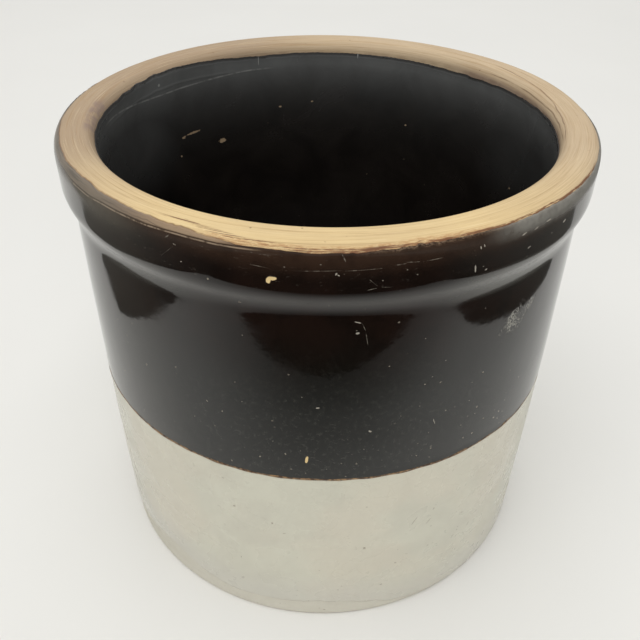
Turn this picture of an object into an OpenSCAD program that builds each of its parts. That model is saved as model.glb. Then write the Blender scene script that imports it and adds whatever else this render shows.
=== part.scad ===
// Open stoneware crock for fermenting and pickling.
// One thrown and fired clay body with a rolled collar, and the glazes fused onto it:
// brown outside above, pale outside below, dark inside, with a thin seam where the two outer ones meet.
// The top of the rim and a strip at the foot are bare clay.
// Millimetres, +Z up, origin at the centre of the base on the plane it rests on.

/* [Overall] */
// Outside diameter across the glazed collar
rim_d = 250; // [200:1:340]
// Height from the base to the top of the rim
crock_h = 231; // [180:1:320]

/* [Wall and floor] */
// Thickness of the clay wall just below the collar
wall_t = 12.6; // [9:0.2:16]
// Thickness of the clay floor
floor_t = 14; // [9:0.5:22]
// How much the foot's radius is smaller than the wall's fullest radius
wall_swell = 2.7; // [0.5:0.1:8]
// Height at which the wall is fullest, as a share of the whole height
wall_full_share = 0.75; // [0.5:0.05:0.8]
// How much the inside radius shrinks from the neck down to the floor
inner_draft = 3; // [1:0.5:6]
// Radius of the inside corner between wall and floor
floor_fillet = 18; // [8:1:30]
// Width of the worn bevel around the foot
foot_bevel = 1.3; // [0.6:0.1:3]

/* [Collar and rim] */
// How far the collar stands out from the wall
collar_proud = 4; // [2:0.1:7]
// Height of the collar, from its full diameter to the top of the rim
collar_h = 18.5; // [14:0.5:26]
// Radius of the hollow under the collar
cove_r = 16; // [5:0.5:16]
// Radius of the collar's lower shoulder
shoulder_r = 12; // [4:0.5:12]
// Width of the rim from the mouth to the collar's face
rim_w = 17; // [16:0.5:20]
// Radius that rounds the rim on the outside
rim_round_out = 5.5; // [4:0.5:9]
// Radius that rounds the rim on the inside
rim_round_in = 6; // [3:0.5:6.5]
// Height of the swelling that the rim makes inside the mouth
inner_roll_h = 16; // [8:1:24]

/* [Glaze] */
// Thickness of every glaze layer
glaze_t = 0.6; // [0.4:0.1:1]
// Height of the line where the brown and the pale glaze meet, as a share of the whole height
glaze_line_share = 0.471; // [0.3:0.001:0.7]
// Height of the seam along that line
seam_h = 1.2; // [0.8:0.1:3]
// How far the seam stands out from the glaze
seam_proud = 0.15; // [0.1:0.05:0.4]
// Depth of bare clay from the top of the rim down its outside
bare_rim_out = 2.6; // [1.5:0.1:14]
// Depth of bare clay from the top of the rim down its inside
bare_rim_in = 6.4; // [6:0.1:14]
// Mean height of the bare strip at the foot
bare_foot_h = 9.5; // [9:0.5:16]
// Tilt of the pale glaze's lower edge, in degrees
bare_foot_tilt = 2.6; // [0:0.1:3]
// Direction in which that edge dips lowest, in degrees from +X
bare_foot_dip = -20; // [-180:5:180]

/* [Hidden] */
$fn = 180;

clay_colour = [0.79, 0.68, 0.50];
brown_colour = [0.13, 0.09, 0.07];
black_colour = [0.07, 0.06, 0.06];
pale_colour = [0.82, 0.81, 0.74];
seam_colour = [0.48, 0.37, 0.24];

collar_r = rim_d / 2 - glaze_t;
wall_full_r = collar_r - collar_proud;
wall_full_z = crock_h * wall_full_share;

// The hollow under the collar and the shoulder above it are two arcs that meet at this angle.
collar_full_z = crock_h - collar_h;
cove_turn = acos(1 - collar_proud / (cove_r + shoulder_r));
neck_z = collar_full_z - (cove_r + shoulder_r) * sin(cove_turn);

mouth_r = collar_r - rim_w;
inner_top_r = wall_full_r - wall_t;
inner_floor_r = inner_top_r - inner_draft;
inner_top_z = crock_h - rim_round_in - inner_roll_h;

glaze_line_z = crock_h * glaze_line_share;
brown_low_z = glaze_line_z + seam_h / 2;
brown_high_z = crock_h - bare_rim_out;
pale_high_z = glaze_line_z - seam_h / 2;
lining_high_z = crock_h - bare_rim_in;

// Points along an arc about a centre, from one angle to another.
function arc(centre, r, from, to, steps = 8) =
    [for (i = [0 : steps]) centre + r * [cos(from + (to - from) * i / steps), sin(from + (to - from) * i / steps)]];

// Radius of the clay wall at height z: widest at wall_full_z, drawing in towards the foot.
function wall_r(z) = wall_full_r - wall_swell * pow(1 - min(z, wall_full_z) / wall_full_z, 2);

// Outside of the wall and collar from the foot bevel up to the rim's outer rounding,
// moved outwards by the given distance.
function outside_path(out, steps = 12) = concat(
    [for (i = [0 : steps])
        let (z = foot_bevel + (neck_z - foot_bevel) * i / steps)
        [wall_r(z) + out, z]],
    arc([wall_full_r + cove_r, neck_z], cove_r - out, 180, 180 - cove_turn),
    arc([collar_r - shoulder_r, collar_full_z], shoulder_r + out, -cove_turn, 0),
    arc([collar_r - rim_round_out, crock_h - rim_round_out], rim_round_out + out, 0, 90));

// Inside from the floor to the mouth, moved inwards by the given distance.
function inside_path(in, steps = 8) = concat(
    arc([inner_floor_r - floor_fillet, floor_t + floor_fillet], floor_fillet - in, -90, 0),
    [for (i = [0 : steps])
        let (rise = (1 - cos(180 * i / steps)) / 2)
        [inner_top_r + (mouth_r - inner_top_r) * rise - in, inner_top_z + inner_roll_h * i / steps]],
    arc([mouth_r + rim_round_in, crock_h - rim_round_in], rim_round_in + in, 180, 90));

// Half section of everything inside the outer surface.
module outside_section(out) {
    polygon(concat(
        [[0, 0], [wall_r(0) + out - foot_bevel, 0]],
        outside_path(out),
        [[0, crock_h + out]]));
}

// Half section of the hollow.
module inside_section(in) {
    polygon(concat(
        [[0, floor_t + in]],
        inside_path(in),
        [[mouth_r + rim_round_in, crock_h + 2], [0, crock_h + 2]]));
}

// Half section of a layer on the outside, between two heights.
module outer_layer(low, high, thickness) {
    intersection() {
        difference() {
            outside_section(thickness);
            outside_section(0);
        }
        translate([0, low]) square([rim_d, high - low]);
    }
}

module stoneware_body() {
    color(clay_colour) rotate_extrude() difference() {
        outside_section(0);
        inside_section(0);
    }
}

module lining_glaze() {
    color(black_colour) rotate_extrude() intersection() {
        difference() {
            inside_section(0);
            inside_section(glaze_t);
        }
        square([rim_d, lining_high_z]);
    }
}

module brown_glaze() {
    color(brown_colour) rotate_extrude() outer_layer(brown_low_z, brown_high_z, glaze_t);
}

module white_glaze() {
    color(pale_colour) difference() {
        rotate_extrude() outer_layer(foot_bevel, pale_high_z, glaze_t);
        translate([0, 0, bare_foot_h])
            rotate([0, bare_foot_tilt, bare_foot_dip])
            translate([-rim_d, -rim_d, -rim_d])
            cube([2 * rim_d, 2 * rim_d, rim_d]);
    }
}

module glaze_seam() {
    color(seam_colour) rotate_extrude() outer_layer(pale_high_z, brown_low_z, glaze_t + seam_proud);
}

stoneware_body();
lining_glaze();
brown_glaze();
white_glaze();
glaze_seam();
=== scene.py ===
"""Open stoneware crock: fired clay with fused glazes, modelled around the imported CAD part.

Every piece is a surface of revolution built ring by ring around the +Z axis. The rings follow the
clay's own half section, read from the CAD body, and are then worked like a hand-finished pot:
wiped rim, wandering glaze edges, throwing rings, chips and pinholes.
Azimuth 0 is the front (-Y) and 90 is +X. Lengths in this script are in millimetres until a mesh is made.
"""
import math

import bpy
import numpy as np
from mathutils import Matrix, Vector


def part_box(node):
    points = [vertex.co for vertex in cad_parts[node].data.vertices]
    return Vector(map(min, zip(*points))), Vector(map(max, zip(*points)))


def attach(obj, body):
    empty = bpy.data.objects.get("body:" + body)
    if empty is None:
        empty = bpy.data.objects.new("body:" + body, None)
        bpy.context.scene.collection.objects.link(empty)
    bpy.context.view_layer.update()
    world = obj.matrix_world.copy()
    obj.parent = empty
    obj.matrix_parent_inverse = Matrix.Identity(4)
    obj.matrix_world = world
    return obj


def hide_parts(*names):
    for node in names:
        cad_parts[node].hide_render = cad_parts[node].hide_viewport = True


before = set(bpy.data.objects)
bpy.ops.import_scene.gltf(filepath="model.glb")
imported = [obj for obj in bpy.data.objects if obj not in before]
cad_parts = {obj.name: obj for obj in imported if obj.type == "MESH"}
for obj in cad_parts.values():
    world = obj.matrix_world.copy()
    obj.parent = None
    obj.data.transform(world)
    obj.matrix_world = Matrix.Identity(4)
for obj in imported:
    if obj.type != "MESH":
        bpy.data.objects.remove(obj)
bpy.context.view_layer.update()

MM = 0.001
TAU = 2 * math.pi
FINE, MEDIUM, COARSE = 1440, 720, 360  # points round a ring
SINK = 0.02  # how far a coat's hidden side lies inside the clay


# ---------------------------------------------------------------- sizes from the CAD nodes

def node_span(node):
    """Lowest z, highest z and largest radius of a CAD node, in mm."""
    low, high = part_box(node)
    return low.z / MM, high.z / MM, high.x / MM


BASE_Z, RIM_Z, CLAY_R = node_span("stoneware_body")
BROWN_LOW_Z, _, COLLAR_R = node_span("brown_glaze")
_, PALE_HIGH_Z, _ = node_span("white_glaze")
LINING_LOW_Z, LINING_HIGH_Z, LINING_R = node_span("lining_glaze")
GLAZE_T = COLLAR_R - CLAY_R
LINE_Z = (BROWN_LOW_Z + PALE_HIGH_Z) / 2


def clay_half_sections():
    """The outer and inner outlines of the CAD body as (radius, height) points from bottom to top."""
    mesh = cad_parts["stoneware_body"].data
    points = np.zeros(len(mesh.vertices) * 3)
    mesh.vertices.foreach_get("co", points)
    points = points.reshape(-1, 3) / MM
    section = np.column_stack([np.hypot(points[:, 0], points[:, 1]), points[:, 2]])
    section = np.unique(np.round(section, 2), axis=0)
    crown = section[section[:, 1] > RIM_Z - 0.05]
    crown_r = (crown[:, 0].min() + crown[:, 0].max()) / 2
    outer = section[section[:, 0] > crown_r]
    inner = section[(section[:, 0] < crown_r) & (section[:, 1] > LINING_LOW_Z - 0.05)]
    return outer[np.argsort(outer[:, 1])], inner[np.lexsort((inner[:, 0], inner[:, 1]))]


class Path:
    """A smooth curve in the half section, measured by arc length."""

    STEP = 0.2

    def __init__(self, points, soften=2.0):
        points = np.asarray(points, float)
        length = np.concatenate([[0], np.cumsum(np.hypot(*np.diff(points, axis=0).T))])
        self.s = np.arange(0, length[-1], self.STEP)
        r = np.interp(self.s, length, points[:, 0])
        z = np.interp(self.s, length, points[:, 1])
        width = int(soften / self.STEP) | 1
        kernel = np.ones(width) / width
        pad = width // 2
        for _ in range(2):
            r = np.convolve(np.pad(r, pad, "reflect", reflect_type="odd"), kernel, "valid")
            z = np.convolve(np.pad(z, pad, "reflect", reflect_type="odd"), kernel, "valid")
        self.r, self.z = r, z
        slope_r, slope_z = np.gradient(r), np.gradient(z)
        size = np.hypot(slope_r, slope_z)
        self.nr, self.nz = slope_z / size, -slope_r / size
        self.length = self.s[-1]

    def at(self, s, out=0.0):
        """Radius and height at arc length s, moved along the outward normal."""
        r = np.interp(s, self.s, self.r) + out * np.interp(s, self.s, self.nr)
        z = np.interp(s, self.s, self.z) + out * np.interp(s, self.s, self.nz)
        return r, z

    def where(self, z):
        """Arc length at which the path first reaches height z."""
        return np.interp(z, np.maximum.accumulate(self.z), self.s)


OUTER_POINTS, INNER_POINTS = clay_half_sections()
# The body's whole outline: out along the base, up the outside, over the rim, down the inside, in along the floor.
INNER_POINTS = np.vstack([[0, LINING_LOW_Z], INNER_POINTS])
BODY = Path(np.vstack([[0, BASE_Z], OUTER_POINTS, INNER_POINTS[::-1]]), soften=1.2)
OUTSIDE = Path(OUTER_POINTS)
INSIDE = Path(INNER_POINTS)


# ---------------------------------------------------------------- shapes that repeat

def azimuths(count):
    return np.arange(count) * TAU / count


def degrees(azimuth):
    """Azimuth in degrees from -180 to 180."""
    return np.degrees((np.asarray(azimuth) + math.pi) % TAU - math.pi)


class Ripple:
    """A gentle random surface round the axis: a sum of waves that close on themselves."""

    def __init__(self, seed, waves, turns, pitch):
        draw = np.random.default_rng(seed)
        self.turns = np.round(draw.uniform(-turns, turns, waves))
        self.rate = TAU / pitch * draw.uniform(-1, 1, waves)
        self.phase = draw.uniform(0, TAU, waves)
        self.scale = 1 / math.sqrt(waves / 2)

    def __call__(self, azimuth, s):
        total = 0
        for turn, rate, phase in zip(self.turns, self.rate, self.phase):
            total = total + np.cos(turn * azimuth + rate * s + phase)
        return total * self.scale


def around(points, azimuth, soften=3.0):
    """A value that changes round the pot, from (degrees, value) points, joined smoothly."""
    at, value = np.array(sorted(points)).T
    fine = np.arange(-540, 540, 0.5)
    line = np.interp((fine + 180) % 360 - 180, at, value, period=360)
    width = int(soften / 0.5) | 1
    for _ in range(2):
        line = np.convolve(line, np.ones(width) / width, "same")
    return np.interp(degrees(azimuth), fine, line)


def bump_shape(x, width):
    """1 at the middle, falling smoothly to 0 at +-width."""
    return np.where(np.abs(x) < width, (1 + np.cos(np.pi * np.clip(x / width, -1, 1))) / 2, 0)


OUT_OF_ROUND = Ripple(3, 4, 3, 900)


def warp(azimuth, z):
    """How far the whole pot leans out of a true circle at a place, in mm."""
    return 0.16 * OUT_OF_ROUND(azimuth, z)


def ring(azimuth, r, z):
    """Points of one ring, with the pot's shared warp."""
    r = np.broadcast_to(r, azimuth.shape)
    z = np.broadcast_to(z, azimuth.shape)
    r = r + warp(azimuth, z) * np.clip(r / 40, 0, 1)
    return np.column_stack([r * np.sin(azimuth), -r * np.cos(azimuth), z])


def skin_faces(sizes, starts, closed):
    """Faces between neighbouring rings. A ring may have half or twice the points of the next."""
    faces = []
    pairs = list(zip(range(len(sizes) - 1), range(1, len(sizes))))
    if closed:
        pairs.append((len(sizes) - 1, 0))
    for low, high in pairs:
        a, b = starts[low], starts[high]
        n, m = sizes[low], sizes[high]
        i = np.arange(max(n, m))
        if n == m:
            j = (i + 1) % n
            faces.append(np.column_stack([a + i, a + j, b + j, b + i]))
        elif n == 1:
            j = (i + 1) % m
            faces.append(np.column_stack([np.full(m, a), b + j, b + i]))
        elif m == 1:
            j = (i + 1) % n
            faces.append(np.column_stack([a + i, a + j, np.full(n, b)]))
        elif n == 2 * m:
            i = np.arange(m)
            j = (i + 1) % m
            faces.append(np.column_stack([a + 2 * i, a + 2 * i + 1, a + (2 * i + 2) % n, b + j, b + i]))
        else:
            i = np.arange(n)
            j = (i + 1) % n
            faces.append(np.column_stack([a + i, a + j, b + (2 * i + 2) % m, b + 2 * i + 1, b + 2 * i]))
    return faces


def skin(name, rings, closed=False, **values):
    """A closed mesh from rings of points in mm, with one named number per point for the materials.
    A ring of one point is a pole on the axis."""
    sizes = [len(points) for points in rings]
    starts = np.concatenate([[0], np.cumsum(sizes)[:-1]])
    mesh = bpy.data.meshes.new(name)
    points = np.vstack(rings) * MM
    faces = skin_faces(sizes, starts, closed)
    corners = np.concatenate([block.ravel() for block in faces])
    counts = np.concatenate([np.full(len(block), block.shape[1]) for block in faces])
    mesh.vertices.add(len(points))
    mesh.vertices.foreach_set("co", points.ravel())
    mesh.loops.add(len(corners))
    mesh.loops.foreach_set("vertex_index", corners)
    mesh.polygons.add(len(counts))
    mesh.polygons.foreach_set("loop_start", np.concatenate([[0], np.cumsum(counts)[:-1]]))
    mesh.update(calc_edges=True)
    mesh.shade_smooth()
    for key, rows in values.items():
        attribute = mesh.attributes.new(key, "FLOAT", "POINT")
        attribute.data.foreach_set("value", np.concatenate(rows).astype(np.float32))
    piece = bpy.data.objects.new(name, mesh)
    bpy.context.scene.collection.objects.link(piece)
    return piece


# ---------------------------------------------------------------- glaze edges round the pot

EDGE_CURL = Ripple(11, 14, 60, 30)
EDGE_NICK = Ripple(12, 24, 260, 30)
EDGE_BURST = Ripple(13, 8, 12, 30)


def brown_top(azimuth):
    """Height at which the brown glaze ends on the rim's outer rounding."""
    line = around([(-180, 228.6), (-120, 228.9), (-80, 229.8), (-55, 230.3), (-38, 230.1), (-30, 229.9),
                   (-24, 229.6), (-17, 228.6), (-13, 227.9), (-10, 228.1), (-1, 227.3), (5, 227.8),
                   (12, 228.4), (20, 228.7), (26, 229.0), (33, 228.8), (40, 228.9), (54, 228.5),
                   (90, 228.3), (130, 228.7)], azimuth)
    burst = 0.03 + 0.07 * np.clip(EDGE_BURST(azimuth, 0), 0, 1.2)
    return line + 0.10 * EDGE_CURL(azimuth, 0) + burst * EDGE_NICK(azimuth, 0)


def lining_top(azimuth):
    """Height at which the dark lining ends inside the mouth."""
    line = around([(-180, 224.4), (-160, 224.2), (-150, 224.7), (-140, 226.4), (-128, 227.4), (-112, 227.1),
                   (-100, 225.8), (-88, 226.1), (-70, 226), (-30, 225), (40, 224.2), (80, 223.6),
                   (92, 224.6), (110, 223.9), (125, 223.1), (140, 223.0), (155, 223.9)], azimuth)
    return line + 0.12 * EDGE_CURL(azimuth, 40) + 0.05 * EDGE_NICK(azimuth, 40)


def pale_bottom(azimuth):
    """Height at which the pale glaze ends above the foot."""
    line = around([(-180, 6), (-140, 8), (-110, 11.5), (-85, 14), (-63, 14.4), (-56, 14.6), (-49, 18.0),
                   (-43, 19.0), (-38, 18.8), (-34, 15.2), (-29, 11.8), (-22, 10.1), (-16, 10.5), (-10, 11.1),
                   (0, 12.8), (8, 11.6), (15, 8.2), (20, 4.2), (28, 2.7), (70, 2.7), (110, 3.6), (150, 4.6)],
                  azimuth)
    return line + 0.25 * EDGE_CURL(azimuth, 80) + 0.1 * EDGE_NICK(azimuth, 50)


def line_height(azimuth):
    """Height of the line where the brown and the pale glaze meet."""
    return LINE_Z + 0.12 * EDGE_CURL(azimuth, 120)


# ---------------------------------------------------------------- the fired clay

def rim_grooves(azimuth, s, start, end):
    """Depth of the fine grooves that wiping left along the rim, over arc lengths start to end."""
    draw = np.random.default_rng(21)
    depth = np.zeros(np.broadcast(azimuth, s).shape)
    for _ in range(70):
        middle = draw.uniform(start, end)
        width = draw.uniform(0.25, 0.7)
        deep = draw.uniform(0.02, 0.11)
        centre, reach = draw.uniform(0, TAU), draw.uniform(0.35, 2.6)
        drift = draw.uniform(-1.2, 1.2)
        away = (azimuth - centre + math.pi) % TAU - math.pi
        depth = depth + deep * bump_shape(s - middle - drift * away / reach, width) * bump_shape(away, reach)
    return depth


def clay_body():
    """The whole fired body. Its rim, foot and underside show; the rest carries the glazes.
    along is the arc length inwards from the crown, bare the arc length up from the brown glaze's edge."""
    rim_step, foot_step, base_step, hidden_step = 0.33, 0.6, 5, 7
    rim_start = BODY.where(RIM_Z - 13)
    crown = BODY.where(RIM_Z - 0.02)
    rim_end = 2 * crown - rim_start + 2
    foot_start = BODY.where(0.3) - 1
    foot_end = BODY.where(20)
    stops = np.concatenate([
        np.arange(6, foot_start, base_step),
        np.arange(foot_start, foot_end, foot_step),
        np.arange(foot_end, rim_start, hidden_step),
        np.arange(rim_start, rim_end, rim_step),
        np.arange(rim_end, BODY.length - 4, hidden_step)])
    wander = Ripple(22, 6, 7, 60)
    underside = Ripple(23, 10, 9, 60)
    rings, along, bare = [np.zeros((1, 3))], [[0.0]], [[0.0]]
    for s in stops:
        fine = rim_start <= s <= rim_end
        azimuth = azimuths(MEDIUM if fine or s < foot_end else COARSE)
        out = np.zeros(len(azimuth))
        if fine:
            out = out - rim_grooves(azimuth, s, rim_start + 4, rim_end - 6)
            out = out + 0.12 * wander(azimuth, s) * bump_shape(s - crown, 16)
        elif s < foot_end:
            out = out + 0.05 * underside(azimuth, s)
        r, z = BODY.at(s, out)
        z = np.maximum(z, BASE_Z)
        rings.append(ring(azimuth, r, z))
        along.append(np.full(len(azimuth), s - crown))
        bare.append(s - BODY.where(brown_top(azimuth)))
    rings.append(np.array([[0, 0, LINING_LOW_Z]]))
    along.append([BODY.length])
    bare.append([BODY.length])
    return skin("clay_body", rings, along=along, bare=bare)


# ---------------------------------------------------------------- the glazes

def lip(distance, thickness, curl):
    """Thickness of a glaze near its edge: rounded, from nothing at the very edge."""
    near = np.clip(distance / curl, 0, 1)
    return thickness * np.sqrt(1 - (1 - near) ** 2)


def coat(name, path, low, high, spacing, relief, counts, curl=0.8):
    """A glaze coat on a path between two wandering edges.
    low and high give arc lengths for azimuths; spacing gives shares from 0 to 1 up the coat;
    counts gives the number of points round the ring at each share; relief adds to the thickness."""
    hidden_spacing = (0.995, 0.97, 0.9, 0.75, 0.5, 0.25, 0.1, 0.03, 0.005)
    rings, edge, along, above = [], [], [], []
    for share in spacing:
        azimuth = azimuths(counts(share))
        start, end = low(azimuth), high(azimuth)
        s = start + (end - start) * share
        from_edge = np.minimum(s - start, end - s)
        out = lip(from_edge, GLAZE_T, curl) + relief(azimuth, s) * np.clip(from_edge / 3, 0, 1)
        r, z = path.at(s, out)
        rings.append(ring(azimuth, r, z))
        edge.append(end - s)
        above.append(s - start)
        along.append(s)
    for share in hidden_spacing:
        azimuth = azimuths(counts(share))
        start, end = low(azimuth), high(azimuth)
        s = start + (end - start) * share
        r, z = path.at(s, -SINK)
        rings.append(ring(azimuth, r, z))
        edge.append(end - s)
        above.append(s - start)
        along.append(s)
    return skin(name, rings, closed=True, edge=edge, above=above, along=along)


def shares(count, at=(0, 1)):
    """Shares from 0 to 1, closer together near the given ends."""
    crowding, reach = 8.0, 0.03
    x = np.linspace(0, 1, 4001)
    density = np.ones_like(x)
    for end in at:
        density += crowding * np.exp(-np.abs(x - end) / reach)
    total = np.cumsum(density)
    total = (total - total[0]) / (total[-1] - total[0])
    return np.interp(np.linspace(0, 1, count), total, x)


THROWN = Ripple(31, 10, 3, 26)
DENTED = Ripple(32, 14, 8, 130)


def wall_relief(azimuth, s):
    """Throwing rings and shallow dents of the outer wall under the glaze."""
    return 0.018 * THROWN(azimuth, s) + 0.05 * DENTED(azimuth, s)


def pit(azimuth, s, at, where, width, depth):
    """A small bowl-shaped chip at an azimuth in degrees and an arc length."""
    across = (degrees(azimuth) - at) * math.pi / 180 * CLAY_R
    return -depth * bump_shape(np.hypot(across, s - where), width)


def brown_coat():
    """The dark glaze on the outside, from the line up over the collar."""
    def low(azimuth):
        return OUTSIDE.where(line_height(azimuth))

    def high(azimuth):
        return OUTSIDE.where(brown_top(azimuth))

    def relief(azimuth, s):
        chips = pit(azimuth, s, -8.9, OUTSIDE.where(216.2), 2.0, 0.4)
        return wall_relief(azimuth, s) + chips

    def counts(share):
        return FINE if share > 0.86 else MEDIUM

    return coat("brown_glaze_coat", OUTSIDE, low, high, shares(150), relief, counts)


def pale_coat():
    """The pale glaze on the outside, from the foot up to the line."""
    def low(azimuth):
        return OUTSIDE.where(pale_bottom(azimuth))

    def high(azimuth):
        return OUTSIDE.where(line_height(azimuth))

    def counts(share):
        return MEDIUM

    return coat("pale_glaze_coat", OUTSIDE, low, high, shares(120), wall_relief, counts, curl=1.4)


def seam_bead():
    """The thin bead where the two outer glazes meet, standing just proud of both."""
    azimuth = azimuths(FINE)
    middle = OUTSIDE.where(line_height(azimuth))
    uneven = 1 + 0.25 * EDGE_CURL(azimuth, 160)
    rings = []
    for turn in np.linspace(0, TAU, 12, endpoint=False):
        s = middle + 0.55 * uneven * math.sin(turn)
        out = GLAZE_T - 0.1 + 0.2 * uneven * math.cos(turn)
        r, z = OUTSIDE.at(s, out)
        rings.append(ring(azimuth, r, z))
    return skin("glaze_seam_bead", rings, closed=True)


def lining_coat():
    """The dark glaze inside, from the rounded edge in the mouth down over the floor."""
    thrown, dented = Ripple(41, 10, 2, 30), Ripple(42, 10, 6, 90)
    top = INSIDE.where(LINING_HIGH_Z)
    ridge = INSIDE.where(LINING_HIGH_Z - 8)
    floor_stops = np.arange(8, INSIDE.where(LINING_LOW_Z + 0.5), 3.0)
    wall_stops = floor_stops[-1] + 3 + (top - floor_stops[-1] - 3) * shares(170, at=(1,))
    rings, edge = [np.array([[0, 0, LINING_LOW_Z]])], [[top]]

    def add(s, hidden):
        azimuth = azimuths(MEDIUM if s > floor_stops[-1] else COARSE)
        shift = (INSIDE.where(lining_top(azimuth)) - top) * np.clip((s - top + 30) / 30, 0, 1)
        place = s + shift
        if hidden:
            out = np.full(len(azimuth), SINK)
        else:
            depth = lip(top - s, GLAZE_T, 1.2) + 0.06 * bump_shape(top - s - 1.8, 1.8)
            rough = 0.02 * thrown(azimuth, s) + 0.05 * dented(azimuth, s)
            spiral = 0.12 * np.cos(TAU * (s / 9 - azimuth / TAU)) * (s < floor_stops[-1])
            fine_ridge = 0.16 * bump_shape(s - ridge, 0.9) * bump_shape((degrees(azimuth) + 125) / 50, 1)
            out = -(depth + (rough + spiral) * np.clip((top - s) / 4, 0, 1) + fine_ridge)
        r, z = INSIDE.at(place, out)
        rings.append(ring(azimuth, r, z))
        edge.append(np.full(len(azimuth), top - s))

    for s in (20, 50, floor_stops[-1], *np.linspace(floor_stops[-1] + 3, top - 6, 10), top - 1.5):
        add(s, True)
    for s in wall_stops[::-1]:
        add(s, False)
    for s in floor_stops[::-1]:
        add(s, False)
    rings.append(np.array([[0, 0, LINING_LOW_Z + GLAZE_T]]))
    edge.append([top])
    return skin("lining_glaze_coat", rings, edge=edge)


# ---------------------------------------------------------------- materials

def tone(red, green, blue):
    """A colour given in ordinary 0 to 255 screen values."""
    linear = [(c / 255 / 12.92) if c <= 10 else ((c / 255 + 0.055) / 1.055) ** 2.4 for c in (red, green, blue)]
    return (*linear, 1.0)


class Graph:
    """A material written as calls. Inputs may be sockets or plain values."""

    def __init__(self, name):
        self.material = bpy.data.materials.new(name)
        self.material.use_nodes = True
        self.tree = self.material.node_tree
        self.tree.nodes.clear()
        self.shader = self.tree.nodes.new("ShaderNodeBsdfPrincipled")
        output = self.tree.nodes.new("ShaderNodeOutputMaterial")
        self.tree.links.new(self.shader.outputs["BSDF"], output.inputs["Surface"])
        place = self.node("ShaderNodeTexCoord").outputs["Object"]
        self.place = self.vector("SCALE", place, scale=1 / MM)
        split = self.node("ShaderNodeSeparateXYZ", {0: self.place}).outputs
        self.x, self.y, self.z = split
        self.azimuth = self.math("DEGREES", self.math("ARCTAN2", self.x, self.math("MULTIPLY", self.y, -1)))

    def node(self, kind, inputs=None, **settings):
        made = self.tree.nodes.new(kind)
        for key, value in settings.items():
            setattr(made, key, value)
        for key, value in (inputs or {}).items():
            self.feed(made.inputs[key], value)
        return made

    def feed(self, socket, value):
        if isinstance(value, bpy.types.NodeSocket):
            self.tree.links.new(value, socket)
        else:
            socket.default_value = value

    def set(self, **values):
        """Feeds the shader; underscores in a name stand for spaces."""
        for key, value in values.items():
            self.feed(self.shader.inputs[key.replace("_", " ")], value)

    def math(self, operation, a, b=0.0, clamp=False):
        return self.node("ShaderNodeMath", {0: a, 1: b}, operation=operation, use_clamp=clamp).outputs[0]

    def vector(self, operation, a, b=(0, 0, 0), scale=1.0):
        made = self.node("ShaderNodeVectorMath", {0: a, 1: b, 3: scale}, operation=operation)
        return made.outputs[1 if operation == "LENGTH" else 0]

    def value(self, name):
        """A number stored on the mesh's points."""
        return self.node("ShaderNodeAttribute", attribute_name=name).outputs["Fac"]

    def noise(self, scale, detail=2.0, roughness=0.5, distortion=0.0, at=None):
        """Noise from 0 to 1, with features about 1/scale mm across."""
        inputs = {"Vector": self.place if at is None else at, "Scale": scale, "Detail": detail,
                  "Roughness": roughness, "Distortion": distortion}
        return self.node("ShaderNodeTexNoise", inputs).outputs["Fac"]

    def step(self, value, start, end, low=0.0, high=1.0):
        """Rises smoothly from low to high as value goes from start to end."""
        inputs = {"Value": value, "From Min": start, "From Max": end, "To Min": low, "To Max": high}
        return self.node("ShaderNodeMapRange", inputs, interpolation_type="SMOOTHSTEP").outputs["Result"]

    def window(self, value, start, end, soft):
        """1 between start and end, fading to 0 over soft outside them."""
        rise = self.step(value, start - soft, start)
        fall = self.step(value, end, end + soft, 1.0, 0.0)
        return self.math("MULTIPLY", rise, fall)

    def both(self, *masks):
        total = masks[0]
        for mask in masks[1:]:
            total = self.math("MULTIPLY", total, mask)
        return total

    def either(self, *masks):
        total = masks[0]
        for mask in masks[1:]:
            total = self.math("MAXIMUM", total, mask)
        return total

    def mix(self, mask, a, b, blend="MIX"):
        made = self.node("ShaderNodeMix", data_type="RGBA", blend_type=blend)
        for index, value in ((0, mask), (6, a), (7, b)):
            self.feed(made.inputs[index], value)
        return made.outputs[2]

    def blend(self, mask, a, b):
        """A number going from a to b with the mask."""
        return self.node("ShaderNodeMix", {0: mask, 2: a, 3: b}, data_type="FLOAT").outputs[0]

    def along_rings(self, across, round_the_pot, arc):
        """Coordinates for streaks that follow the rings: arc is a length across them."""
        flat = self.node("ShaderNodeCombineXYZ", {0: self.x, 1: self.y}).outputs[0]
        turned = self.vector("SCALE", self.vector("NORMALIZE", flat), scale=round_the_pot)
        up = self.node("ShaderNodeCombineXYZ", {2: self.math("MULTIPLY", arc, across)}).outputs[0]
        return self.vector("ADD", turned, up)

    def unrolled(self, radius):
        """The wall laid flat, in mm: along the ring from the front, and up."""
        round_it = self.math("MULTIPLY", self.azimuth, radius * math.pi / 180)
        return self.node("ShaderNodeCombineXYZ", {0: round_it, 1: self.z}).outputs[0]

    def spots(self, radius, marks, rough=0.5, grain=0.9):
        """Ragged spots at (azimuth in degrees, height, half length, half width, tilt in degrees)."""
        flat = self.unrolled(radius)
        ragged = self.math("MULTIPLY", self.math("SUBTRACT", self.noise(grain, 3), 0.5), 2 * rough)
        total = None
        for azimuth, height, long, wide, tilt in marks:
            local = self.node("ShaderNodeMapping", {
                "Vector": flat, "Location": (azimuth * radius * math.pi / 180, height, 0),
                "Rotation": (0, 0, math.radians(tilt)), "Scale": (long, wide, 1)}, vector_type="TEXTURE").outputs[0]
            away = self.math("ADD", self.vector("LENGTH", local), ragged)
            mask = self.step(away, 0.75, 1.05, 1.0, 0.0)
            total = mask if total is None else self.math("MAXIMUM", total, mask)
        return total

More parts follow.
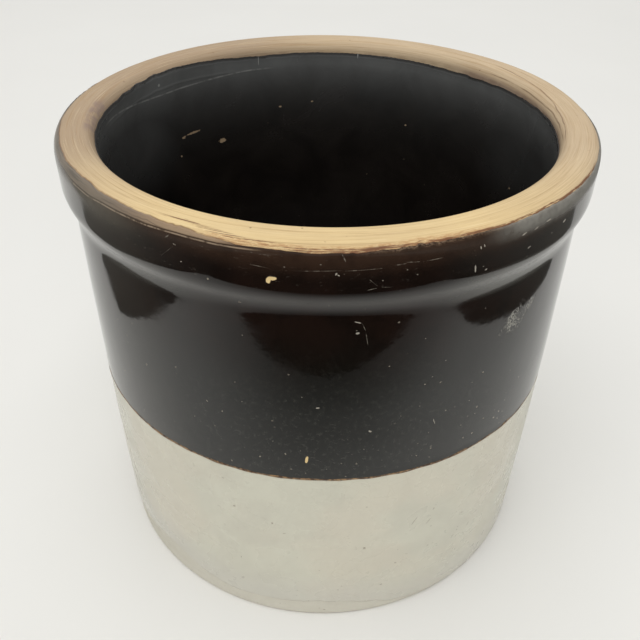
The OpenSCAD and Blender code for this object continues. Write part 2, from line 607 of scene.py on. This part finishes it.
    def specks(self, size, share, radius, at=None):
        """Small uneven specks: cells of a size in mm, the share of them that hold a speck, its radius in cells."""
        place = self.place if at is None else at
        shift = self.node("ShaderNodeTexNoise", {"Vector": place, "Scale": 3 / size, "Detail": 2.0}).outputs["Color"]
        place = self.vector("ADD", place, self.vector("SCALE", shift, scale=0.5 * size))
        made = self.node("ShaderNodeTexVoronoi", {"Vector": place, "Scale": 1 / size})
        chance = self.node("ShaderNodeSeparateColor", {0: made.outputs["Color"]}).outputs
        reach = self.math("MULTIPLY", chance[1], radius)
        inside = self.math("SUBTRACT", reach, made.outputs["Distance"])
        dot = self.step(inside, 0.0, 0.25 * radius)
        strength = self.step(chance[2], 0.0, 1.0, 0.35, 1.0)
        return self.both(dot, strength, self.math("LESS_THAN", chance[0], share))

    def bump(self, height, distance=1.0):
        """Bends the shading by a height in mm."""
        made = self.node("ShaderNodeBump", {"Height": height, "Distance": distance * MM, "Strength": 1.0})
        self.set(Normal=made.outputs["Normal"])


CLAY_CHIP = tone(222, 194, 138)


def bare_clay():
    """Unglazed fired clay: tan and streaked along the rim, cream at the foot, buff underneath."""
    g = Graph("bare_clay")
    along, bare = g.value("along"), g.value("bare")
    # Painted light: the rim's colour is painted darker at the left and back and lighter at the front, where the light
    # falls on it.
    body = g.mix(g.window(g.azimuth, -150, -66, 32), tone(195, 173, 142), tone(170, 148, 122))
    body = g.mix(g.window(g.azimuth, -24, 26, 48), body, tone(219, 193, 143))
    streak = g.noise(1.0, 4, 0.6, 0.25, at=g.along_rings(1.1, 2.5, along))
    fine = g.noise(1.0, 3, 0.6, 0.1, at=g.along_rings(3.6, 4, along))
    colour = g.mix(g.step(g.noise(0.03, 3), 0.35, 0.7, 0.0, 0.2), body, tone(176, 148, 112))
    colour = g.mix(g.step(streak, 0.5, 0.72, 0.0, 0.45), colour, tone(160, 128, 90))
    colour = g.mix(g.step(fine, 0.55, 0.72, 0.0, 0.35), colour, tone(236, 218, 180))
    colour = g.mix(g.step(fine, 0.45, 0.28, 0.0, 0.42), colour, tone(142, 112, 78))

    # Thin dark lines that wander along the rim at the back right, and a grey smudge at the left.
    wander = g.math("MULTIPLY", g.math("SUBTRACT", g.noise(0.05, 2), 0.5), 2.5)
    falling = g.math("MULTIPLY", g.math("SUBTRACT", 124, g.azimuth), 0.1)
    upper = g.math("SUBTRACT", g.math("SUBTRACT", along, 5.9), g.math("ADD", falling, wander))
    lower = g.math("ADD", g.math("SUBTRACT", along, 12.0), wander)
    thin_lines = g.either(g.window(upper, -0.12, 0.12, 0.3), g.window(lower, -0.12, 0.12, 0.35))
    thin_lines = g.both(thin_lines, g.window(g.azimuth, 80, 122, 8), g.step(g.noise(0.1, 3), 0.25, 0.5, 0.2))
    colour = g.mix(g.math("MULTIPLY", thin_lines, 0.7), colour, tone(118, 90, 68))
    smudge = g.both(g.window(g.azimuth, -92, -79, 6), g.window(along, 8.5, 12, 2.5),
                    g.step(g.noise(0.25, 3), 0.25, 0.6))
    colour = g.mix(g.math("MULTIPLY", smudge, 0.6), colour, tone(134, 114, 110))

    # A soft pinkish band and a patchy brown line where the lining begins.
    pink = g.both(g.step(along, 12.5, 16.0), g.window(g.azimuth, 84, 128, 16), g.window(along, 0, 20, 1))
    colour = g.mix(g.math("MULTIPLY", pink, 0.6), colour, tone(150, 126, 114))
    mouth = g.both(g.window(along, 14.8, 19, 0.8), g.step(g.noise(0.12, 3), 0.35, 0.7))
    colour = g.mix(g.math("MULTIPLY", mouth, 0.3), colour, tone(122, 94, 78))

    # Where the glaze was wiped off: orange stipple and broken brown lines that close on the edge in front,
    # a ragged line at the right and a thin one at the left.
    stipple = g.noise(1.0, 4, 0.75, 0.3, at=g.along_rings(2.2, 45, along))
    orange = g.both(g.window(bare, 0, 1.6, 1.6), g.window(g.azimuth, -16, 24, 8), g.step(stipple, 0.38, 0.60))
    colour = g.mix(g.math("MULTIPLY", orange, 0.75), colour, tone(176, 128, 82))
    wiped = g.noise(1.0, 3, 0.6, at=g.along_rings(1.9, 3.0, along))
    closing = g.step(g.azimuth, -26, 4, 3.6, 0.9)
    scored = g.both(g.step(g.math("ADD", wiped, g.math("MULTIPLY", stipple, 0.25)), 0.60, 0.68),
                    g.window(g.math("SUBTRACT", bare, closing), -1.0, 0.3, 0.6), g.window(g.azimuth, -26, 10, 6))
    colour = g.mix(g.math("MULTIPLY", scored, 0.85), colour, tone(108, 70, 48))
    ragged = g.noise(1.0, 4, 0.7, 0.2, at=g.along_rings(1.6, 14, along))
    serrated = g.both(g.window(bare, -0.5, 0.8, 0.4), g.step(ragged, 0.40, 0.5), g.window(g.azimuth, 4, 62, 6))
    colour = g.mix(g.math("MULTIPLY", serrated, 0.9), colour, tone(112, 68, 42))
    left_line = g.both(g.window(bare, -0.3, 0.35, 0.35), g.step(streak, 0.3, 0.5), g.window(g.azimuth, -120, -14, 8))
    colour = g.mix(g.math("MULTIPLY", left_line, 0.7), colour, tone(118, 84, 60))

    grit = g.specks(2.6, 0.25, 0.18)
    colour = g.mix(g.math("MULTIPLY", grit, 0.55), colour, tone(104, 78, 54))

    low = g.step(g.z, 30, 60, 1.0, 0.0)
    foot = g.mix(g.noise(0.15, 4, 0.6), tone(214, 211, 198), tone(200, 195, 180))
    foot = g.mix(g.math("MULTIPLY", g.specks(3.0, 0.35, 0.2), 0.6), foot, tone(120, 98, 74))
    colour = g.mix(low, colour, foot)
    under = g.step(g.z, 0.9, 0.2)
    kiln = g.mix(g.step(g.noise(0.035, 5, 0.6, 0.6), 0.4, 0.65), tone(202, 184, 152), tone(158, 132, 100))
    kiln = g.mix(g.math("MULTIPLY", g.specks(5.0, 0.4, 0.25), 0.7), kiln, tone(88, 66, 48))
    colour = g.mix(under, colour, kiln)

    g.set(Base_Color=colour, Roughness=g.step(streak, 0.3, 0.7, 0.62, 0.82), IOR=1.45)
    height = g.math("MULTIPLY", fine, 0.08)
    height = g.math("ADD", height, g.math("MULTIPLY", g.noise(1.6, 4, 0.65), 0.05))
    height = g.math("SUBTRACT", height, g.math("MULTIPLY", grit, 0.1))
    g.bump(height)
    return g.material


def brown_glaze():
    """Glossy dark slip glaze: a thin reddish edge under the rim, a smear and a worn ridge at the left, dust,
    painted sheen at the left and under the collar, a worn patch at the right, and pinholes, nicks, hairlines and
    chips."""
    g = Graph("brown_glaze")
    edge = g.value("edge")
    radius = COLLAR_R - 1
    cloud = g.noise(0.05, 3, 0.6, 0.5)
    colour = g.mix(g.step(cloud, 0.35, 0.65), tone(19, 13, 10), tone(26, 17, 13))
    colour = g.mix(g.step(g.z, 200, 150), colour, tone(17, 17, 14))
    thin = g.both(g.step(edge, 12, 0.5), g.window(g.azimuth, -50, 50, 18), g.step(g.noise(0.16, 3), 0.2, 0.6, 0.5))
    colour = g.mix(thin, colour, tone(54, 39, 30))

    # At the left the glaze is smeared thin over the rounding, down to a worn ridge that shows the clay,
    # and the collar below it is dull. At the right its edge is ragged and hazy.
    streak = g.noise(1.0, 4, 0.6, 0.3, at=g.along_rings(1.8, 6, edge))
    drift = g.math("MULTIPLY", g.math("SUBTRACT", g.noise(0.04, 2), 0.5), 1.2)
    height_here = g.math("ADD", g.z, drift)
    smear = g.both(g.window(g.azimuth, -84, -19, 7), g.step(height_here, 228.0, 228.6))
    smeared = g.mix(g.step(streak, 0.36, 0.56), tone(80, 70, 61), tone(126, 109, 93))
    smeared = g.mix(g.both(g.step(g.azimuth, -42, -26), g.step(streak, 0.3, 0.45)), smeared, tone(156, 133, 108))
    colour = g.mix(g.math("MULTIPLY", smear, 0.9), colour, smeared)
    broken = g.step(g.noise(1.0, 3, 0.7, at=g.along_rings(0.2, 22, edge)), 0.38, 0.56, 0.15, 0.85)
    ridge = g.both(g.window(height_here, 227.5, 227.7, 0.3), g.window(g.azimuth, -54, -14, 5), broken)
    colour = g.mix(ridge, colour, tone(150, 130, 108))
    worn_side = g.both(g.window(g.azimuth, -88, -46, 16), g.step(edge, 16, 3), g.step(g.noise(0.3, 4), 0.2, 0.6, 0.7))
    colour = g.mix(g.math("MULTIPLY", worn_side, 0.38), colour, tone(124, 119, 106))
    rag = g.both(g.step(edge, 1.6, 0.2), g.step(g.noise(1.3, 4, 0.7), 0.42, 0.60), g.window(g.azimuth, 14, 70, 10))
    colour = g.mix(g.math("MULTIPLY", rag, 0.6), colour, tone(136, 114, 92))
    haze = g.both(g.window(g.azimuth, 38, 80, 12), g.step(edge, 8, 2), g.step(g.noise(0.3, 4), 0.2, 0.6, 0.6))
    colour = g.mix(g.math("MULTIPLY", haze, 0.75), colour, tone(140, 138, 130))

    lower = g.step(g.z, 180, 120)
    right = g.step(g.azimuth, -10, 30)
    patchy = g.step(g.noise(0.05, 2), 0.35, 0.6, 0.3)
    share = g.math("ADD", 0.02, g.both(lower, patchy, g.step(right, 0, 1, 0.24, 0.40)))
    pin = g.specks(2.2, share, 0.26)
    large_pin = g.specks(6.5, g.math("MULTIPLY", share, 0.8), 0.10)
    worn = g.spots(radius, [(41.5, 177, 10.5, 6.5, 32)], rough=0.9, grain=0.22)
    thinning = g.math("ADD", g.noise(0.9, 5, 0.8, 0.4), g.math("MULTIPLY", g.noise(0.16, 2), 0.3))
    patch = g.both(worn, g.step(thinning, 0.64, 0.71))
    pinholes = g.either(pin, large_pin)
    colour = g.mix(g.math("MULTIPLY", pinholes, 0.75), colour, tone(164, 154, 136))
    colour = g.mix(g.math("MULTIPLY", patch, 0.75), colour, tone(168, 166, 156))

    nicks = g.spots(radius, [
        (26, 215, 1.8, 0.35, -82), (28.3, 213.3, 0.6, 0.3, 19), (26.5, 223.6, 0.8, 0.25, -72),
        (27.2, 224, 0.8, 0.25, -70), (36, 223.4, 1.4, 0.3, 18), (42.3, 224.5, 1.6, 0.35, 4),
        (48.3, 219.3, 1.2, 0.4, 18), (38, 216.2, 0.9, 0.25, 20), (39, 223.6, 1.1, 0.25, 20),
        (1.8, 219.9, 0.6, 0.3, 64), (2.2, 219.3, 0.5, 0.25, -30), (-25.8, 223.6, 0.4, 0.15, -38),
        (-24.7, 216.8, 0.4, 0.2, 21), (6, 195.6, 1.5, 0.25, -17), (-1, 152.5, 0.9, 0.4, 10),
        (9.5, 138, 0.8, 0.5, -30), (23.3, 136.5, 2.0, 0.2, -70), (6, 190.5, 0.8, 0.5, 0)],
        rough=0.5, grain=1.4)
    dots = g.spots(radius, [(azimuth, z, 0.30, 0.24, 0) for azimuth, z in (
        (9.4, 216.4), (13.4, 220), (27.6, 215), (-25.5, 223.4), (-6.5, 222), (-0.7, 223.7), (15.2, 217.4),
        (5.8, 191.8), (19, 184), (-15, 186), (1, 116), (24, 170), (21.5, 163), (31.5, 152), (19.5, 148), (28, 141),
        (8.5, 127.5), (-16, 151), (-4, 158), (-10, 131))], rough=0.4, grain=1.6)
    hairlines = g.spots(radius, [
        (7.7, 213, 1.9, 0.16, 12), (10, 213.5, 2.2, 0.16, -7), (7.9, 215.7, 2.1, 0.15, -45),
        (12.2, 222.5, 2.0, 0.2, 4), (14.3, 222.9, 2.6, 0.15, -5), (17.7, 222.7, 3.6, 0.15, 3),
        (6.1, 221.3, 6.8, 0.13, 2), (-1.3, 221, 8.6, 0.11, 2), (3, 226, 1.8, 0.25, -65),
        (-27.4, 219.6, 4.2, 0.07, 43), (-27, 226, 1.3, 0.25, 39), (-9.5, 226.2, 2.1, 0.15, 1),
        (-10.5, 221.3, 3.4, 0.13, -6), (7.1, 193.2, 2.2, 0.18, -67), (7.7, 188, 3.3, 0.15, -80)],
        rough=0.6, grain=1.2)
    scuffed = g.both(g.step(g.noise(1.0, 4, 0.75, 0.4, at=g.along_rings(1.6, 60, edge)), 0.62, 0.72),
                     g.window(g.z, 213, 227, 3), g.step(g.noise(0.08, 2), 0.42, 0.6))
    faint = g.math("MULTIPLY", hairlines, g.step(g.noise(0.8, 3, 0.7), 0.38, 0.66, 0.03, 0.32))
    marks = g.either(g.math("MULTIPLY", nicks, 0.6), g.math("MULTIPLY", dots, 0.32), faint,
                     g.math("MULTIPLY", scuffed, 0.16))
    colour = g.mix(marks, colour, tone(196, 188, 172))

    # Dust on the lower wall, and painted sheen that lightens the wall at the left and the sides of the hollow under
    # the collar.
    dust = g.both(g.step(g.noise(0.55, 5, 0.75), 0.48, 0.72), g.step(g.z, 195, 130))
    colour = g.mix(g.math("MULTIPLY", dust, 0.09), colour, tone(142, 142, 130))
    # Painted sheen: the wall is painted lighter towards the left side, fading out behind it.
    left_painted_sheen = g.step(g.azimuth, -22, -50, 0.0, 0.09)
    colour = g.mix(g.math("MULTIPLY", left_painted_sheen, g.step(g.azimuth, -130, -100)), colour, tone(128, 122, 114))
    # Painted reflection: the sides of the hollow under the collar are painted lighter, more at the right than at the
    # left.
    neck_painted_sheen = g.both(g.window(g.z, 200, 209, 4), g.window(g.math("ABSOLUTE", g.azimuth), 40, 80, 24))
    colour = g.mix(g.math("MULTIPLY", neck_painted_sheen, g.step(g.azimuth, -30, 30, 0.22, 0.42)), colour, tone(126, 126, 120))
    chips = g.spots(radius, [(-8.6, 216.7, 2.0, 0.85, 9), (-9.2, 215.7, 1.2, 0.9, -85),
                             (-3.1, 121.6, 2.4, 0.75, 84)], rough=0.3)
    colour = g.mix(chips, colour, CLAY_CHIP)

    matt = g.either(chips, ridge, g.math("MULTIPLY", smear, 0.5), g.math("MULTIPLY", nicks, 0.8), haze, patch,
                    g.step(edge, 1.0, 0.4), g.math("MULTIPLY", worn_side, 0.3))
    smudge = g.step(g.noise(0.04, 5, 0.6, 0.8), 0.35, 0.7, 0.05, 0.11)
    dusty = g.math("MULTIPLY", g.window(g.z, 202, 208, 4), 0.10)
    rolled = g.both(g.step(edge, 1.6, 0.6), g.window(g.azimuth, -24, 24, 12))
    g.set(Base_Color=colour, Roughness=g.blend(matt, g.math("ADD", smudge, dusty), 0.6), IOR=1.5,
          Specular_IOR_Level=g.blend(rolled, 0.5, 0.1))
    height = g.math("MULTIPLY", g.noise(0.45, 2), 0.010)
    height = g.math("ADD", height, g.math("MULTIPLY", g.noise(0.12, 2), 0.03))
    height = g.math("SUBTRACT", height, g.math("MULTIPLY", g.either(pinholes, patch), 0.06))
    height = g.math("SUBTRACT", height, g.math("MULTIPLY", g.either(nicks, chips), 0.08))
    g.bump(height)
    return g.material


def lining_glaze():
    """Brown-black glaze inside, hazier than the outside, with painted sheen at the mouth, painted highlights near its
    edge at the back, and a few chips down to the clay.
    """
    g = Graph("black_glaze")
    radius = LINING_R - 1
    cloud = g.noise(0.03, 5, 0.62, 0.8)
    colour = g.mix(g.step(cloud, 0.3, 0.7), tone(20, 17, 15), tone(30, 26, 23))
    # Painted sheen: a pale grey layer that lightens the glaze towards the mouth, halving every 9 mm down, and reaches
    # lower at the sides, more at the left.
    mouth_painted_sheen = g.math("POWER", 2.0, g.math("DIVIDE", g.math("SUBTRACT", g.z, 218), 9), clamp=True)
    sides = g.both(g.window(g.math("ABSOLUTE", g.azimuth), 84, 112, 24), g.step(g.z, 150, 205))
    mouth_painted_sheen = g.math("MAXIMUM", mouth_painted_sheen, g.math("MULTIPLY", sides, g.step(g.azimuth, -60, 60, 0.42, 0.30)))
    mouth_painted_sheen = g.both(mouth_painted_sheen, g.step(g.noise(0.05, 4, 0.6, 0.5), 0.2, 0.8, 0.75, 1.0), g.step(g.value("edge"), 0.3, 2.0))
    colour = g.mix(mouth_painted_sheen, colour, tone(104, 105, 104))
    specks = g.specks(7.0, 0.14, 0.10)
    colour = g.mix(g.math("MULTIPLY", specks, 0.5), colour, tone(140, 126, 104))
    # Painted highlights: a thin pale line along the fine ridge at the back left, and small pale marks near the
    # lining's edge at the back, stand in for light caught by the ridge and the glaze's lip.
    rising = g.math("ADD", g.step(g.azimuth, -126, -93, 215.5, 220.3), g.step(g.azimuth, -134, -157, 0.0, 1.3))
    line = g.both(g.window(g.math("SUBTRACT", g.z, rising), -0.2, 0.2, 0.4), g.window(g.azimuth, -157, -95, 6),
                  g.step(g.noise(0.25, 3), 0.35, 0.6, 0.1, 0.55))
    marks = g.spots(radius, [(-157.4, 221.6, 2.7, 0.22, 90), (170.7, 223.2, 1.6, 0.22, 90),
                             (-121.3, 221.5, 0.8, 0.8, 0)], rough=0.3)
    colour = g.mix(g.either(line, marks), colour, tone(150, 150, 146))
    chips = g.spots(radius, [
        (-133, 187.8, 4.8, 0.7, -2), (-129, 187, 1.6, 0.8, 0), (-143.5, 177.6, 2.5, 1.4, -3),
        (-164.2, 192.8, 1.1, 0.6, 0), (-174.8, 195, 0.7, 0.5, 0), (153.5, 185, 0.7, 0.5, 0),
        (108.7, 174.3, 0.8, 0.6, 0), (-127.2, 176.5, 0.7, 0.6, 0)], rough=0.8, grain=1.1)
    colour = g.mix(g.math("MULTIPLY", chips, 0.85), colour, tone(166, 142, 112))
    rough = g.step(cloud, 0.3, 0.75, 0.14, 0.30)
    dull = g.both(g.step(g.value("edge"), 2.2, 1.2), g.step(g.noise(0.06, 3), 0.62, 0.52))
    g.set(Base_Color=colour, Roughness=g.blend(g.either(chips, dull), rough, 0.7), IOR=1.5)
    height = g.math("MULTIPLY", g.noise(0.35, 3), 0.03)
    height = g.math("SUBTRACT", height, g.math("MULTIPLY", g.either(chips, specks), 0.12))
    g.bump(height)
    return g.material


def pale_glaze():
    """Cream glaze: soft mottling, faint crazing, dark specks and hairline scratches."""
    g = Graph("pale_glaze")
    along = g.value("along")
    mottle = g.noise(0.045, 4, 0.6, 0.6)
    colour = g.mix(g.step(mottle, 0.3, 0.7), tone(206, 204, 187), tone(199, 196, 180))
    colour = g.mix(g.step(g.noise(0.02, 3), 0.45, 0.65, 0.0, 0.5), colour, tone(209, 201, 183))
    crazing = g.node("ShaderNodeTexVoronoi", {"Vector": g.place, "Scale": 0.16, "Randomness": 1.0},
                     feature="DISTANCE_TO_EDGE").outputs["Distance"]
    lines = g.both(g.step(crazing, 0.02, 0.0), g.step(g.noise(0.03, 2), 0.5, 0.65))
    colour = g.mix(g.math("MULTIPLY", lines, 0.25), colour, tone(170, 156, 130))
    scuff = g.step(g.noise(1.0, 4, 0.7, 0.5, at=g.along_rings(0.3, 30, along)), 0.62, 0.72)
    colour = g.mix(g.math("MULTIPLY", scuff, 0.15), colour, tone(176, 170, 150))
    specks = g.either(g.specks(5.5, 0.22, 0.16), g.specks(11.0, 0.5, 0.10))
    placed = g.spots(CLAY_R - 5, [
        (-19.9, 81.1, 0.9, 0.5, 20), (-11.0, 75.0, 0.6, 0.5, 0), (15.3, 23.4, 0.8, 0.6, 0), (22, 70, 3.4, 0.2, 60),
        (26, 66, 2.6, 0.2, 50), (40, 44, 1.6, 0.25, 70)], rough=0.4)
    colour = g.mix(g.math("MULTIPLY", g.either(specks, placed), 0.7), colour, tone(104, 84, 62))
    above = g.value("above")
    colour = g.mix(g.step(above, 30, 2, 0.0, 0.5), colour, tone(198, 195, 186))
    bottom = g.both(g.step(above, 1.2, 0.3), g.step(g.noise(0.1, 3), 0.3, 0.6, 0.3))
    colour = g.mix(g.math("MULTIPLY", bottom, 0.8), colour, tone(142, 114, 98))
    g.set(Base_Color=colour, Roughness=g.step(g.noise(0.06, 4), 0.3, 0.7, 0.22, 0.36), IOR=1.5)
    height = g.math("MULTIPLY", g.noise(0.35, 2), 0.02)
    height = g.math("SUBTRACT", height, g.math("MULTIPLY", specks, 0.05))
    g.bump(height)
    return g.material


def seam_glaze():
    """Where the two outer glazes overlap: thin, tan and brown by turns."""
    g = Graph("seam_glaze")
    patchy = g.noise(0.5, 4, 0.7)
    colour = g.mix(g.step(patchy, 0.4, 0.62), tone(74, 52, 36), tone(150, 118, 80))
    g.set(Base_Color=colour, Roughness=g.step(patchy, 0.3, 0.7, 0.22, 0.4), IOR=1.5)
    g.bump(g.math("MULTIPLY", g.noise(1.2, 3), 0.06))
    return g.material


def pale_floor():
    g = Graph("studio_floor")
    colour = g.mix(g.noise(0.004, 3), tone(228, 227, 223), tone(233, 232, 228))
    g.set(Base_Color=colour, Roughness=0.7, Specular_IOR_Level=0.0)
    return g.material


# ---------------------------------------------------------------- the studio

def floor():
    mesh = bpy.data.meshes.new("studio_floor")
    reach = 30.0
    mesh.from_pydata([(-reach, -reach, 0), (reach, -reach, 0), (reach, reach, 0), (-reach, reach, 0)], [],
                     [(0, 1, 2, 3)])
    mesh.materials.append(pale_floor())
    plane = bpy.data.objects.new("studio_floor", mesh)
    bpy.context.scene.collection.objects.link(plane)


def dark_surround():
    """What the gloss mirrors beyond the lit table: a dark room that only reflections see.
    A flat sheet with a lit opening lies just over the floor, a curtain stands behind it, and a veil dims the
    table in front of the crock."""
    far = 2600
    left = [(-290, -318), (-310, -300), (-318, -200), (-325, -80), (-316, 5), (-338, 42), (-372, 86), (-470, 140),
            (-far, 1250)]
    right = [(268, -318), (286, -300), (294, -240), (296, -187), (322, -104), (342, 4), (356, 80), (375, 115),
             (480, 190), (far, 1400)]
    lit = left[::-1] + right
    rim = [(far * math.cos(turn), far * math.sin(turn)) for turn in np.radians(np.linspace(28, -208, 24))]
    sheet = bpy.data.meshes.new("dark_sheet")
    front = [(x, y, 1) for x, y in lit] + [(far, -far, 1), (-far, -far, 1)]
    sheet.from_pydata([Vector(point) * MM for point in front], [], [tuple(range(len(front)))])
    curtain = bpy.data.meshes.new("dark_curtain")
    posts = [Vector((x, y, z)) * MM for x, y in rim for z in (1, 3000)]
    curtain.from_pydata(posts, [], [(2 * i, 2 * i + 2, 2 * i + 3, 2 * i + 1) for i in range(len(rim) - 1)])

    black = Graph("dark_room")
    aside = black.step(black.math("ABSOLUTE", black.x), 250, 520)
    black.set(Base_Color=black.mix(aside, tone(34, 30, 27), tone(128, 128, 122)), Roughness=1.0,
              Specular_IOR_Level=0.0)

    shade = Graph("shaded_table")
    across = shade.blend(shade.step(shade.x, -330, 0), 0.25, 1.0)
    across = shade.math("MULTIPLY", across, shade.step(shade.x, 40, 330, 1.0, 0.6))
    depth = shade.step(shade.y, -175, -330, 0.0, 0.84)
    shade.set(Base_Color=(0.012, 0.010, 0.009, 1.0), Roughness=1.0, Specular_IOR_Level=0.0,
              Alpha=shade.math("MULTIPLY", across, depth))
    veil = bpy.data.meshes.new("table_veil")
    corners = ((-330, -330, 0.6), (330, -330, 0.6), (330, -140, 0.6), (-330, -140, 0.6))
    veil.from_pydata([Vector(corner) * MM for corner in corners], [], [(0, 1, 2, 3)])
    for mesh, material in ((sheet, black.material), (curtain, black.material), (veil, shade.material)):
        mesh.materials.append(material)
        card = bpy.data.objects.new(mesh.name, mesh)
        bpy.context.scene.collection.objects.link(card)
        card.visible_camera = False
        card.visible_diffuse = False
        card.visible_shadow = False
        card.visible_transmission = False


def softbox(name, position, target, size, power):
    data = bpy.data.lights.new(name, "AREA")
    data.shape = "RECTANGLE"
    data.size, data.size_y = size
    data.energy = power
    lamp = bpy.data.objects.new(name, data)
    lamp.location = position
    lamp.rotation_euler = (Vector(target) - Vector(position)).to_track_quat("-Z", "Y").to_euler()
    bpy.context.scene.collection.objects.link(lamp)


def studio():
    floor()
    dark_surround()
    world = bpy.data.worlds.new("studio_world")
    world.use_nodes = True
    world.node_tree.nodes["Background"].inputs["Color"].default_value = (1.0, 1.0, 0.99, 1.0)
    world.node_tree.nodes["Background"].inputs["Strength"].default_value = 0.5
    bpy.context.scene.world = world
    softbox("softbox_top", (-0.30, -0.70, 2.9), (0, 0, 0.1), (2.6, 2.6), 48)
    softbox("softbox_front", (0.1, -1.4, 1.2), (0, 0, 0.1), (1.0, 0.7), 5)
    softbox("softbox_back", (0.2, 2.2, 2.4), (0.2, 1.9, 0), (2.4, 1.4), 17)
    bpy.context.scene.view_settings.view_transform = "Standard"


def camera():
    """The photograph's viewpoint: a phone held close, looking down into the mouth."""
    eye = Vector((0, -342.1, 362.2)) * MM
    aim = Vector((-2.4, 0, 106.8)) * MM
    roll = math.radians(-0.71)
    data = bpy.data.cameras.new("camera")
    data.sensor_width = 36
    data.lens = 42.06
    data.clip_start = 0.01
    data.clip_end = 100
    view = bpy.data.objects.new("camera", data)
    turn = (aim - eye).to_track_quat("-Z", "Y").to_matrix() @ Matrix.Rotation(-roll, 3, "Z")
    view.matrix_world = Matrix.Translation(eye) @ turn.to_4x4()
    bpy.context.scene.collection.objects.link(view)
    bpy.context.scene.camera = view


# ---------------------------------------------------------------- putting it together

for piece, node, slot, material in (
        (clay_body(), "stoneware_body", "bare_clay", bare_clay()),
        (lining_coat(), "lining_glaze", "black_glaze", lining_glaze()),
        (brown_coat(), "brown_glaze", "brown_glaze", brown_glaze()),
        (pale_coat(), "white_glaze", "pale_glaze", pale_glaze()),
        (seam_bead(), "glaze_seam", "seam_glaze", seam_glaze())):
    piece.data.materials.append(material)
    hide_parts(node)
    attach(piece, "root")

studio()
camera()
